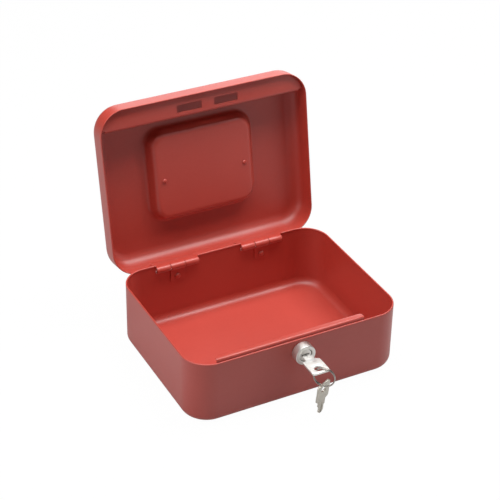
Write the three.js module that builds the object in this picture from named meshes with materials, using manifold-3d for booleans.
// Steel cash box with a tilting lid, a folding handle, a wafer cam lock with a
// hook-shaped cam, and two keys on a split ring.
// Units are millimetres, +Z is up. The origin is the centre of the base's
// footprint on its underside; the lock is on the -Y side and the hinges on +Y.
// The lid is described closed inside its own group, then swung open.
import * as THREE from 'three';
import { mergeVertices } from 'three/addons/utils/BufferGeometryUtils.js';
import Module from 'manifold-3d';

const wasm = await Module();
wasm.setup();
const { degToRad, smoothstep } = THREE.MathUtils;

// ---------------------------------------------------------------- shared dimensions
const BOX_W = 200; // outside width, X
const BOX_D = 154; // outside depth, Y
const BASE_H = 61; // base height to its rim
const LID_H = 25; // lid height above its own rim
const RIM_GAP = 0.3; // parting gap between base rim and lid rim
const CORNER_R = 23.5; // plan radius of the four corners
const SHEET = 0.9; // sheet steel thickness

const FRONT = -BOX_D / 2;
const REAR = BOX_D / 2;
const LID_Z = BASE_H + RIM_GAP; // lid rim height, closed
const LID_TOP = LID_Z + LID_H;
const BEYOND_X = [-120, 120]; // ranges wider than the box, for cutting blocks
const BEYOND_Y = [-100, 100];

const RIVET_HOLE_R = 1.8;
const RIVET_SHANK_R = 1.5;
const RIVET_SEGMENTS = 16;

const LOCK_Z = 49; // lock axis height
const BARREL_R = 7.8; // lock housing barrel radius
const BARREL_HOLE_R = BARREL_R + 0.25;

const SIDES = [['left', -1], ['right', 1]]; // name, sign of X

const RED = { color: 0x9c2f2b, roughness: 0.42, metalness: 0.1 };
const CHROME = { color: 0xd9d5cf, roughness: 0.16, metalness: 1 };
const STEEL = { color: 0xa9a49c, roughness: 0.35, metalness: 1 };
const BRASS = { color: 0xb59a5b, roughness: 0.35, metalness: 1 };
const NICKEL = { color: 0xc9c2b4, roughness: 0.25, metalness: 1 };

// ---------------------------------------------------------------- solids and meshes
const toSolid = (geometry) => {
  geometry.deleteAttribute('normal');
  geometry.deleteAttribute('uv');
  const merged = mergeVertices(geometry, 1e-4);
  const { position } = merged.attributes;
  const triangles = [];
  let volume = 0; // signed, to turn an inside-out profile round
  for (let i = 0; i < merged.index.count; i += 3) {
    const corners = [0, 1, 2].map((k) => merged.index.getX(i + k));
    if (new Set(corners).size < 3) continue;
    triangles.push(...corners);
    const [a, b, c] = corners.map((k) => new THREE.Vector3().fromBufferAttribute(position, k));
    volume += a.dot(b.cross(c));
  }
  if (volume < 0) triangles.reverse();
  return new wasm.Manifold(new wasm.Mesh({
    numProp: 3,
    vertProperties: new Float32Array(position.array),
    triVerts: new Uint32Array(triangles),
  }));
};

const toGeometry = (solid) => {
  const mesh = solid.getMesh();
  const geometry = new THREE.BufferGeometry();
  const points = new Float32Array(mesh.vertProperties);
  geometry.setAttribute('position', new THREE.BufferAttribute(points, 3));
  geometry.setIndex(new THREE.BufferAttribute(new Uint32Array(mesh.triVerts), 1));
  geometry.computeVertexNormals();
  return geometry;
};

const put = (group, name, solid, look) => {
  const mesh = new THREE.Mesh(toGeometry(solid), new THREE.MeshStandardMaterial(look));
  mesh.name = name;
  group.add(mesh);
};

const addGroup = (parent) => {
  const group = new THREE.Group();
  parent.add(group);
  return group;
};

const join = (first, ...others) => others.reduce((a, b) => a.add(b), first);
const cut = (body, ...tools) => tools.reduce((a, b) => a.subtract(b), body);

// ---------------------------------------------------------------- shape helpers
const around = (centre, half) => [centre - half, centre + half];

// block given by its X, Y and Z ranges; the X range may run either way
const box = ([x0, x1], [y0, y1], [z0, z1]) => toSolid(
  new THREE.BoxGeometry(Math.abs(x1 - x0), y1 - y0, z1 - z0)
    .translate((x0 + x1) / 2, (y0 + y1) / 2, (z0 + z1) / 2));

const roundRect = (width, depth, r, centreY = 0) => {
  const shape = new THREE.Shape();
  const [x0, x1] = around(0, width / 2);
  const [y0, y1] = around(centreY, depth / 2);
  shape.moveTo(x0 + r, y0);
  shape.lineTo(x1 - r, y0);
  shape.absarc(x1 - r, y0 + r, r, -Math.PI / 2, 0, false);
  shape.lineTo(x1, y1 - r);
  shape.absarc(x1 - r, y1 - r, r, 0, Math.PI / 2, false);
  shape.lineTo(x0 + r, y1);
  shape.absarc(x0 + r, y1 - r, r, Math.PI / 2, Math.PI, false);
  shape.lineTo(x0, y0 + r);
  shape.absarc(x0 + r, y0 + r, r, Math.PI, 1.5 * Math.PI, false);
  return shape;
};

const lineThrough = (shape, points) => points.forEach(([x, y]) => shape.lineTo(x, y));

const extrude = (shape, depth, curveSegments) =>
  new THREE.ExtrudeGeometry(shape, { depth, bevelEnabled: false, curveSegments });

// plate drawn in (x, z), with thickness from y0 to y1, raised by z
const plateXZ = (shape, [y0, y1], z = 0, curveSegments = 8) => toSolid(
  extrude(shape, y1 - y0, curveSegments).rotateX(Math.PI / 2).translate(0, y1, 0)
    .translate(0, 0, z));

// the box's outline moved in by `inset`, from z0 to z1, with both end edges rounded
const boxBlock = ({ inset, fillet, z0, z1, bevelSegments }) => {
  const edge = fillet - inset;
  const shrink = 2 * (inset + edge);
  const outline = roundRect(BOX_W - shrink, BOX_D - shrink, CORNER_R - inset - edge);
  return toSolid(new THREE.ExtrudeGeometry(outline, {
    depth: z1 - z0 - 2 * edge,
    bevelEnabled: true,
    bevelThickness: edge,
    bevelSize: edge,
    bevelSegments,
    curveSegments: 6,
  }).translate(0, 0, z0 + edge));
};

const lathe = (profile, segments) =>
  new THREE.LatheGeometry(profile.map(([r, along]) => new THREE.Vector2(r, along)), segments);

// turned piece from (radius, y) pairs, about an axis along Y
const turnedY = (profile, z, x = 0, segments = 24) =>
  toSolid(lathe(profile, segments).translate(x, 0, z));

// turned piece from (radius, z) pairs, about a vertical axis
const turnedZ = (profile, x, y) =>
  toSolid(lathe(profile, RIVET_SEGMENTS).rotateX(Math.PI / 2).translate(x, y, 0));

const rodProfile = (r, [start, end]) => [[0, start], [r, start], [r, end], [0, end]];
const rodY = (r, range, z, x, segments) => turnedY(rodProfile(r, range), z, x, segments);
const rodZ = (r, range, x, y) => turnedZ(rodProfile(r, range), x, y);
const rodX = (r, length, x, y, z, segments) => toSolid(
  new THREE.CylinderGeometry(r, r, length, segments).rotateZ(Math.PI / 2).translate(x, y, z));

const curveFrom = (getPoint) => Object.assign(new THREE.Curve(), { getPoint });

const wireAlong = (extrudePath, radius, steps, curveSegments) => {
  const section = new THREE.Shape();
  section.absarc(0, 0, radius, 0, 2 * Math.PI, false);
  const options = { steps, extrudePath, bevelEnabled: false, curveSegments };
  return toSolid(new THREE.ExtrudeGeometry(section, options));
};

// ---------------------------------------------------------------- hinges
const HINGE_IN = 1.35; // hinge axis forward of the rear outer face
const HINGE_DOWN = 5.2; // hinge axis below the base rim
const HINGE_X = 42.3; // hinge centres either side of the middle
const HINGE_W = 41;
const KNUCKLE_R = 2.8;
const KNUCKLE_BORE_R = 1.9;
const PIN_R = 1.6;
const MID_KNUCKLE_W = 13.6; // width of the base leaf and its knuckle
const HINGE_RIVET_DOWN = 11; // rivet below the hinge axis
const LEAF_START = 1; // leaf plate's near edge from the axis, inside the knuckle
const BASE_LEAF_REACH = HINGE_RIVET_DOWN + 4.5;
const LID_LEAF_REACH = 14.5;

const AXIS_Y = REAR - HINGE_IN;
const AXIS_Z = BASE_H - HINGE_DOWN;
const HINGE_RIVET_Z = AXIS_Z - HINGE_RIVET_DOWN;
const LEAF_REAR = REAR - SHEET - 0.3; // just clear of the wall's inside face
const LEAF_FRONT = LEAF_REAR - SHEET;

// bored knuckle with a leaf plate over the given Z range
const hingeLeaf = (x, width, plateZ) => {
  const knuckle = rodX(KNUCKLE_R, width, x, AXIS_Y, AXIS_Z, 20);
  const plate = box(around(x, width / 2), [LEAF_FRONT, LEAF_REAR], plateZ);
  const bore = rodX(KNUCKLE_BORE_R, width + 20, x, AXIS_Y, AXIS_Z, 20);
  return cut(join(knuckle, plate), bore);
};

const hingeRivetHole = (x) =>
  rodY(RIVET_HOLE_R, [REAR - 6, REAR + 2], HINGE_RIVET_Z, x, RIVET_SEGMENTS);

const baseLeaf = (x) => cut(
  hingeLeaf(x, MID_KNUCKLE_W, [AXIS_Z - BASE_LEAF_REACH, AXIS_Z - LEAF_START]),
  hingeRivetHole(x));

// the middle of the lid leaf is cut out to make room for the base knuckle
const lidLeaf = (x) => cut(
  hingeLeaf(x, HINGE_W, [AXIS_Z + LEAF_START, AXIS_Z + LID_LEAF_REACH]),
  box(around(x, MID_KNUCKLE_W / 2 + 0.5), around(AXIS_Y, 5), [AXIS_Z - 5, AXIS_Z + 4.4]));

const hingePin = (x) => rodX(PIN_R, HINGE_W + 1, x, AXIS_Y, AXIS_Z, 16);

// domed rivet: round head inside, low head outside
const hingeRivet = (x) => {
  const inside = LEAF_FRONT - 0.05;
  const outside = REAR + 0.05;
  return turnedY([
    [0, inside - 1.5], [1.2, inside - 1.35], [2.2, inside - 0.8], [2.7, inside],
    [RIVET_SHANK_R, inside], [RIVET_SHANK_R, outside],
    [2.7, outside], [2.3, outside + 0.7], [0, outside + 1],
  ], HINGE_RIVET_Z, x, RIVET_SEGMENTS);
};

// ---------------------------------------------------------------- base
const BASE_FILLET = 8; // bottom edge radius
const LIP_X = [-78, 61];
const LIP_UP = 2.8; // lip above the base rim
const LIP_DOWN = 3.6; // lip below the base rim
const LIP_T = 1.3; // lip thickness at the wall
const LIP_IN = 6; // width of its flange, turned inwards

const baseTray = () => {
  const fillet = BASE_FILLET;
  const outer = cut(
    boxBlock({ inset: 0, fillet, z0: 0, z1: BASE_H + 30, bevelSegments: 4 }),
    box(BEYOND_X, BEYOND_Y, [BASE_H, BASE_H + 40]));
  const inner = boxBlock({ inset: SHEET, fillet, z0: SHEET, z1: BASE_H + 40, bevelSegments: 4 });
  const hingeCuts = SIDES.flatMap(([, side]) => {
    const x = side * HINGE_X;
    const notch = box(around(x, HINGE_W / 2 + 1.6), [REAR - 4, REAR + 2],
      [AXIS_Z - KNUCKLE_R - 0.5, BASE_H + 5]);
    return [notch, hingeRivetHole(x)];
  });
  const lockHole = rodY(BARREL_HOLE_R, [FRONT - 3, FRONT + 4], LOCK_Z);
  return cut(outer, inner, ...hingeCuts, lockHole);
};

// strip behind the front wall, standing proud of the rim, its top edge turned inwards
const frontLip = () => {
  const y = FRONT + SHEET + 0.15;
  const top = BASE_H + LIP_UP;
  return join(
    box(LIP_X, [y, y + LIP_T], [BASE_H - LIP_DOWN, top]),
    box(LIP_X, [y, y + LIP_IN], [top - SHEET, top]));
};

// ---------------------------------------------------------------- lock housing
const COLLAR_FACE = FRONT - 8;
const COLLAR_BACK = FRONT - 0.05; // collar rests on the box face
const COLLAR_R = 9.2;
const PLUG_R = 5.7;
const HOUSING_BORE_R = PLUG_R + 0.3;
const BARREL_END = -67.4;
const GROOVE_Y = [-75.95, -74.35];
const GROOVE_R = BARREL_R - 0.8;

const lockHousing = () => turnedY([
  [HOUSING_BORE_R, COLLAR_FACE + 0.5], [HOUSING_BORE_R + 0.6, COLLAR_FACE + 0.1],
  [COLLAR_R - 0.8, COLLAR_FACE], [COLLAR_R - 0.23, COLLAR_FACE + 0.23],
  [COLLAR_R, COLLAR_FACE + 0.8], [COLLAR_R, COLLAR_BACK], [BARREL_R, COLLAR_BACK],
  [BARREL_R, GROOVE_Y[0]], [GROOVE_R, GROOVE_Y[0]],
  [GROOVE_R, GROOVE_Y[1]], [BARREL_R, GROOVE_Y[1]],
  [BARREL_R, BARREL_END], [HOUSING_BORE_R, BARREL_END],
  [HOUSING_BORE_R, COLLAR_FACE + 0.5],
], LOCK_Z);

// U-shaped spring clip in the barrel groove, open at the top
const springClip = () => {
  const outerR = 10.6;
  const innerR = GROOVE_R + 0.25;
  const legTop = 6.6;
  const outerBendZ = -6;
  const shape = new THREE.Shape();
  shape.moveTo(-outerR, legTop);
  shape.lineTo(-outerR, outerBendZ);
  shape.absarc(0, outerBendZ, outerR, Math.PI, 2 * Math.PI, false);
  lineThrough(shape, [[outerR, legTop], [innerR, legTop], [innerR, 0]]);
  shape.absarc(0, 0, innerR, 0, Math.PI, true);
  shape.lineTo(-innerR, legTop);
  return plateXZ(shape, [GROOVE_Y[0] + 0.2, GROOVE_Y[1] - 0.2], LOCK_Z);
};

// ---------------------------------------------------------------- lock plug, cam and wafers
const KEY_T = 1.8; // key thickness
const BLADE_W = 6;

const PLUG_FRONT = -84.3;
const PLUG_END = -66.9;
const TANG_HALF = 3.1; // square tang that carries the cam
const CAM_HOLE_HALF = 3.35;
const CAM_Y = [-65.6, -64.2];
const HOOK_INNER_R = 18.4;
const HOOK_OUTER_R = 23;
const HOOK_TAIL = degToRad(255); // from +X, counter-clockwise seen from the front
const HOOK_TIP = degToRad(160);

const WAFER_Y = [-83.2, -81.4, -79.6];
const KEY_CUTS = [0.5, 0.5, 0.4]; // depth of the key cut under each wafer
const WAFER_T = 1;
const WAFER_HALF_W = 5;
const WAFER_HALF_H = 2.6;

const lockPlug = () => {
  const body = turnedY([
    [0, PLUG_FRONT], [PLUG_R - 0.5, PLUG_FRONT], [PLUG_R, PLUG_FRONT + 0.5],
    [PLUG_R, PLUG_END], [0, PLUG_END],
  ], LOCK_Z);
  const tang = box(around(0, TANG_HALF), [-67.2, -64.25], around(LOCK_Z, TANG_HALF));
  const keyway = box(around(0, BLADE_W / 2 + 0.4), [-90, -69], around(LOCK_Z, KEY_T / 2 + 0.3));
  const waferSlots = WAFER_Y.map((y) => box(
    around(0, PLUG_R + 1), around(y, WAFER_T / 2 + 0.15), around(LOCK_Z, WAFER_HALF_H + 0.3)));
  const screwHole = rodY(1.4, [-68.5, -60], LOCK_Z, 0, 16);
  return cut(join(body, tang), keyway, ...waferSlots, screwHole);
};

// hub, arm and a circular hook, at rest; turning it 90 degrees clockwise from
// the front sends the hook up through the strike plate
const hookCam = () => {
  const hook = new THREE.Shape();
  hook.absarc(0, 0, HOOK_OUTER_R, HOOK_TIP + 0.06, HOOK_TAIL, false);
  hook.absarc(0, 0, HOOK_INNER_R, HOOK_TAIL, HOOK_TIP, true);

  const armEnd = (degrees) => [
    Math.cos(degToRad(degrees)) * 21,
    Math.sin(degToRad(degrees)) * 21,
  ];
  const armOutline = [[-4.6, 3.4], [-5.2, -3], armEnd(240), armEnd(254.5), [4.8, -2.5]];
  const arm = new THREE.Shape(armOutline.map(([x, z]) => new THREE.Vector2(x, z)));

  const hub = rodY(6, CAM_Y, 0);
  const squareHole = box(around(0, CAM_HOLE_HALF), [CAM_Y[0] - 1, CAM_Y[1] + 1],
    around(0, CAM_HOLE_HALF));
  const cam = join(plateXZ(hook, CAM_Y, 0, 16), plateXZ(arm, CAM_Y), hub);
  return cut(cam, squareHole).translate([0, 0, LOCK_Z]);
};

const camWasher = () => turnedY([
  [1.5, -64.15], [5.2, -64.15], [5.2, -63.5], [1.5, -63.5], [1.5, -64.15],
], LOCK_Z);

const camScrew = () => cut(
  turnedY([
    [0, -68.2], [1.1, -68.2], [1.1, -63.45], [3, -63.45], [2.8, -62.2], [1.8, -61.7], [0, -61.6],
  ], LOCK_Z, 0, 20),
  box([-4, 4], [-62.5, -60], around(LOCK_Z, 0.4))); // driver slot

// thin plate with a window for the key blade and a corner pocket for its spring
const wafer = (y, keyCut) => cut(
  box(around(0, WAFER_HALF_W), around(y, WAFER_T / 2), around(LOCK_Z, WAFER_HALF_H)),
  box([-BLADE_W / 2 + keyCut - 0.35, BLADE_W / 2 + 0.6], around(y, 2),
    around(LOCK_Z, KEY_T / 2 + 0.25)),
  box([3.85, 6], around(y, 2), [LOCK_Z - 3, LOCK_Z - 1.3]));

// coil spring lying along X in the wafer's pocket
const waferSpring = (y) => {
  const [startX, length, coilR, turns] = [4.05, 1.35, 0.32, 3.5];
  const coil = curveFrom((t) => {
    const angle = 2 * Math.PI * turns * t;
    return new THREE.Vector3(
      startX + length * t,
      y + coilR * Math.cos(angle),
      LOCK_Z - 2.05 + coilR * Math.sin(angle));
  });
  return wireAlong(coil, 0.1, 20, 3);
};

// ---------------------------------------------------------------- keys and ring
const KEY_LEN = 34;
const BOW_W = 16;
const BOW_L = 18.5;
const BOW_HOLE_R = 3.6;
const BOW_HOLE_IN = 6; // hole centre from the bow's outer end
const NECK_HALF_W = 4.2;
const NECK_START = BOW_L + 1.2;
const NECK_END = BOW_L + 7.4;
const BOW_END = FRONT - 16 - BOW_L; // outer end of the bow when inserted

const RING_R = 9;
const RING_WIRE_R = 0.5;
const RING_HALF_PITCH = 0.62; // each turn either side of the ring's plane
const RING_ANGLE = degToRad(-45); // ring plane about Z
const RING_OFFSET = 5.4; // ring centre from the bow hole, along the ring plane
const RING_DROP = 7; // ring centre below the lock axis
const RING_CENTRE = new THREE.Vector3(
  RING_OFFSET * Math.cos(RING_ANGLE),
  BOW_END + BOW_HOLE_IN + RING_OFFSET * Math.sin(RING_ANGLE),
  LOCK_Z - RING_DROP);

// flat key, bow towards -Y and blade towards +Y; y = 0 is the bow's outer end
const keySolid = () => {
  const bow = BOW_W / 2;
  const blade = BLADE_W / 2;
  const shape = new THREE.Shape();
  shape.moveTo(-bow + 3.2, 0);
  shape.lineTo(bow - 3.2, 0);
  shape.quadraticCurveTo(bow - 0.6, 0.4, bow, 3.4);
  shape.lineTo(bow, BOW_L - 3.4);
  shape.quadraticCurveTo(bow - 0.2, BOW_L - 0.4, bow - 2.6, BOW_L);
  lineThrough(shape, [
    [NECK_HALF_W, NECK_START], [NECK_HALF_W, NECK_END], [blade, NECK_END],
    [blade, KEY_LEN - 1.6], [1.2, KEY_LEN], [-1.2, KEY_LEN], [-blade + 0.4, KEY_LEN - 1.2],
  ]);
  // cuts along the -X edge, one under each wafer, from the tip back
  for (let i = WAFER_Y.length - 1; i >= 0; i--) {
    const y = WAFER_Y[i] - BOW_END;
    const edge = -blade + 0.2;
    const bottom = -blade + KEY_CUTS[i];
    lineThrough(shape, [[edge, y + 0.8], [bottom, y + 0.55], [bottom, y - 0.55], [edge, y - 0.8]]);
  }
  lineThrough(shape, [
    [-blade, NECK_END], [-NECK_HALF_W, NECK_END], [-NECK_HALF_W, NECK_START],
    [-bow + 2.6, BOW_L],
  ]);
  shape.quadraticCurveTo(-bow + 0.2, BOW_L - 0.4, -bow, BOW_L - 3.4);
  shape.lineTo(-bow, 3.4);
  shape.quadraticCurveTo(-bow + 0.6, 0.4, -bow + 3.2, 0);
  const hole = new THREE.Path();
  hole.absarc(0, BOW_HOLE_IN, BOW_HOLE_R, 0, 2 * Math.PI, true);
  shape.holes.push(hole);
  return toSolid(extrude(shape, KEY_T, 6).translate(0, 0, -KEY_T / 2));
};

// nearly two turns of wire, stepping across from one turn to the other halfway
const splitRing = () => {
  const path = curveFrom((t) => {
    const angle = degToRad(-60) + 2 * Math.PI * 1.92 * t;
    const across = -RING_HALF_PITCH + 2 * RING_HALF_PITCH * smoothstep(t, 0.44, 0.58);
    return new THREE.Vector3(RING_R * Math.cos(angle), across, RING_R * Math.sin(angle));
  });
  return wireAlong(path, RING_WIRE_R, 60, 3);
};

// ---------------------------------------------------------------- lid
const LID_FILLET = 12; // top edge radius
const LID_OPEN = degToRad(100);

const POCKET_FLOOR = 12.7; // inside face of the pocket floor above the lid rim
const POCKET_W = 88;
const POCKET_L = 71;
const POCKET_R = 8;
const POCKET_Y = -1.5;
const POCKET_FLARE = 11;
const FLOOR_INSIDE = LID_Z + POCKET_FLOOR;
const FLOOR_OUTSIDE = FLOOR_INSIDE + SHEET;

const STRIKE_Z = LID_Z + 3.5; // underside of the strike plate
const STRIKE_EDGE = -57.2; // rear edge of the strike plate, Y
const STRIKE_SLOTS = [[-26, -2], [10, 33]]; // X ranges
const SLOT_Y = -65;
const SLOT_D = 7;

const HANDLE_RIVET_X = 39.6;
const HANDLE_Y = 1.5;

// block in the form of the handle pocket: flat floor, walls flaring out to the
// top face; `grow` moves its floor and walls outwards
const pocketBlock = (grow) => {
  const depth = LID_TOP - FLOOR_OUTSIDE;
  const floor = roundRect(POCKET_W + 2 * grow, POCKET_L + 2 * grow, POCKET_R + grow, POCKET_Y);
  return toSolid(new THREE.ExtrudeGeometry(floor, {
    depth: 10,
    bevelEnabled: true,
    bevelThickness: depth,
    bevelSize: POCKET_FLARE,
    bevelSegments: 3,
    curveSegments: 5,
  }).translate(0, 0, FLOOR_OUTSIDE - grow + depth));
};

const lidShell = () => {
  const fillet = LID_FILLET;
  const outer = cut(
    boxBlock({ inset: 0, fillet, z0: LID_Z - 40, z1: LID_TOP, bevelSegments: 5 }),
    box(BEYOND_X, BEYOND_Y, [LID_Z - 60, LID_Z]));
  const inner = boxBlock({
    inset: SHEET, fillet, z0: LID_Z - 45, z1: LID_TOP - SHEET, bevelSegments: 5,
  });
  const hollow = cut(inner, pocketBlock(SHEET));
  const holes = [-1, 1].map((side) => rodZ(
    RIVET_HOLE_R, [FLOOR_INSIDE - 3, FLOOR_INSIDE + 4], side * HANDLE_RIVET_X, HANDLE_Y));
  return cut(outer, hollow, pocketBlock(0), ...holes);
};

// plate across the front of the lid, with two slots and a flange turned up
// along its rear edge
const strikePlate = () => {
  const inset = SHEET + 0.35;
  const outline = roundRect(BOX_W - 2 * inset, BOX_D - 2 * inset, CORNER_R - inset);
  const sheet = toSolid(extrude(outline, SHEET, 8).translate(0, 0, STRIKE_Z));
  const behind = box(BEYOND_X, [STRIKE_EDGE, BEYOND_Y[1]], around(STRIKE_Z, 5));
  const flange = box(around(0, BOX_W / 2 - 4), [STRIKE_EDGE - SHEET, STRIKE_EDGE],
    [STRIKE_Z, STRIKE_Z + 4]);
  const slots = STRIKE_SLOTS.map((rangeX) =>
    box(rangeX, around(SLOT_Y, SLOT_D / 2), around(STRIKE_Z, 3)));
  return cut(join(cut(sheet, behind), flange), ...slots);
};

// ---------------------------------------------------------------- handle
const BAIL_Z = FLOOR_OUTSIDE + 4.6;
const BAIL_R = 2; // bar radius
const BAIL_END_X = 37.2;
const BAIL_SIDE_X = 30.2;
const BAIL_REACH = 24.5; // grip from the pivot line
const PIVOT_BEND = 3;
const GRIP_BEND = 5;
const FOOT_Z = FLOOR_OUTSIDE + 0.3; // underside of the bracket foot

// foot riveted to the pocket floor, with an upright ear holding the bail
const handleBracket = (side) => {
  const innerX = side * 34.2;
  const foot = box([innerX, side * 43.4], around(HANDLE_Y, 5.5), [FOOT_Z, FLOOR_OUTSIDE + 1.5]);
  const ear = box([innerX, side * 35.6], around(HANDLE_Y, 4.6), [FOOT_Z, FLOOR_OUTSIDE + 7.8]);
  const bailHole = rodX(BAIL_R + 0.3, 8, side * 35, HANDLE_Y, BAIL_Z, 16);
  const rivetHole = rodZ(
    RIVET_HOLE_R, around(FLOOR_OUTSIDE + 1, 4), side * HANDLE_RIVET_X, HANDLE_Y);
  return cut(join(foot, ear), bailHole, rivetHole);
};

const handleRivet = (side) => {
  const inside = FLOOR_INSIDE - 0.3; // seats of the two heads
  const outside = FLOOR_OUTSIDE + 1.8;
  return turnedZ([
    [0, inside - 1.5], [1.2, inside - 1.4], [2.2, inside - 0.9], [2.7, inside],
    [RIVET_SHANK_R, inside], [RIVET_SHANK_R, outside],
    [2.6, outside], [1.4, outside + 1], [0, outside + 1.2],
  ], side * HANDLE_RIVET_X, HANDLE_Y);
};

// round bar folded flat: straight runs joined by curved bends
const handleBail = () => {
  const x = BAIL_SIDE_X;
  const y = BAIL_REACH;
  const bends = [ // start, corner and end of each bend, as (x, y from the pivot line)
    [[-x - PIVOT_BEND, 0], [-x, 0], [-x, PIVOT_BEND]],
    [[-x, y - GRIP_BEND], [-x, y], [-x + GRIP_BEND, y]],
    [[x - GRIP_BEND, y], [x, y], [x, y - GRIP_BEND]],
    [[x, PIVOT_BEND], [x, 0], [x + PIVOT_BEND, 0]],
  ];
  const point = ([along, out]) => new THREE.Vector3(along, HANDLE_Y + out, BAIL_Z);
  const path = new THREE.CurvePath();
  let last = point([-BAIL_END_X, 0]);
  for (const bend of bends) {
    const [start, corner, end] = bend.map(point);
    path.add(new THREE.LineCurve3(last, start));
    path.add(new THREE.QuadraticBezierCurve3(start, corner, end));
    last = end;
  }
  path.add(new THREE.LineCurve3(last, point([BAIL_END_X, 0])));
  return wireAlong(path, BAIL_R, 60, 5);
};

// ---------------------------------------------------------------- assembly
const root = new THREE.Group();

const base = addGroup(root);
put(base, 'base_tray', baseTray(), RED);
put(base, 'front_lip', frontLip(), RED);
for (const [name, side] of SIDES) {
  const x = side * HINGE_X;
  put(base, `hinge_base_leaf_${name}`, baseLeaf(x), RED);
  put(base, `hinge_pin_${name}`, hingePin(x), RED);
  put(base, `hinge_rivet_${name}`, hingeRivet(x), RED);
}
put(base, 'lock_housing', lockHousing(), CHROME);
put(base, 'lock_spring_clip', springClip(), STEEL);

const plug = addGroup(root);
put(plug, 'lock_plug', lockPlug(), CHROME);
put(plug, 'lock_hook_cam', hookCam(), STEEL);
put(plug, 'cam_washer', camWasher(), STEEL);
put(plug, 'cam_screw', camScrew(), STEEL);
WAFER_Y.forEach((y, i) => {
  put(plug, `lock_wafer_${i + 1}`, wafer(y, KEY_CUTS[i]), BRASS);
  put(plug, `wafer_spring_${i + 1}`, waferSpring(y), STEEL);
});

const keyGroup = addGroup(root);
keyGroup.position.set(0, BOW_END, LOCK_Z);
put(keyGroup, 'key', keySolid(), NICKEL);

const ringGroup = addGroup(root);
ringGroup.position.copy(RING_CENTRE);
ringGroup.rotation.z = RING_ANGLE;
put(ringGroup, 'key_ring', splitRing(), STEEL);

// the spare key hangs from the bottom of the ring, turned and leaning slightly
const spareGroup = addGroup(root);
spareGroup.position.copy(RING_CENTRE);
spareGroup.position.z += -RING_R + RING_WIRE_R + 0.5;
spareGroup.rotation.z = degToRad(25);
const spareLean = addGroup(spareGroup);
spareLean.rotation.set(degToRad(7), degToRad(-3), 0);
const spareHang = addGroup(spareLean);
spareHang.rotation.x = -Math.PI / 2; // +Y of the key points down
put(spareHang, 'spare_key', keySolid().translate([0, BOW_HOLE_R - BOW_HOLE_IN, 0]), NICKEL);

// the outer lid group turns about the hinge axis; the inner one restores the box's origin
const lid = addGroup(root);
lid.position.set(0, AXIS_Y, AXIS_Z);
lid.rotation.x = -LID_OPEN;
const lidParts = addGroup(lid);
lidParts.position.set(0, -AXIS_Y, -AXIS_Z);
put(lidParts, 'lid_shell', lidShell(), RED);
put(lidParts, 'lid_strike_plate', strikePlate(), RED);
for (const [name, side] of SIDES) {
  put(lidParts, `hinge_lid_leaf_${name}`, lidLeaf(side * HINGE_X), RED);
}
for (const [name, side] of SIDES) {
  put(lidParts, `handle_bracket_${name}`, handleBracket(side), CHROME);
  put(lidParts, `handle_rivet_${name}`, handleRivet(side), RED);
}
put(lidParts, 'handle_bail', handleBail(), CHROME);

export default root;
